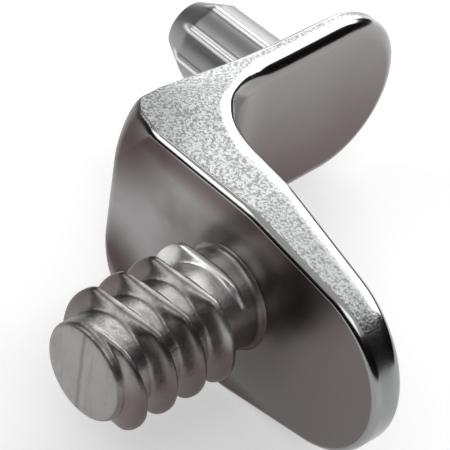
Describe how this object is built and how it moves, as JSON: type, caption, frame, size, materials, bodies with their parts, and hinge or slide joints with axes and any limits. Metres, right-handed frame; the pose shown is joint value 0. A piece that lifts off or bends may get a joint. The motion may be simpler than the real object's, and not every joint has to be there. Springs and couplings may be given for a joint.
{
  "type": "shelf support pin",
  "caption": "Screw-in shelf support: a small die-cast L bracket with a coarse-threaded stud for the cabinet side and a ribbed pin for the shelf.",
  "frame": {"origin": "on the threaded stud's axis, where it meets the panel leg's outer face, midway between the side faces", "axes": "+X out of the cabinet side along the shelf leg (the stud points to -X), +Y up in use and along the ribbed pin, +Z across the bracket, which lies on its side face"},
  "size_m": [0.0255, 0.0243, 0.0104],
  "materials": {
    "nickel_plated_zinc": "satin"
  },
  "bodies": {
    "root": {"shelf_support": "nickel_plated_zinc"}
  },
  "joints": []
}
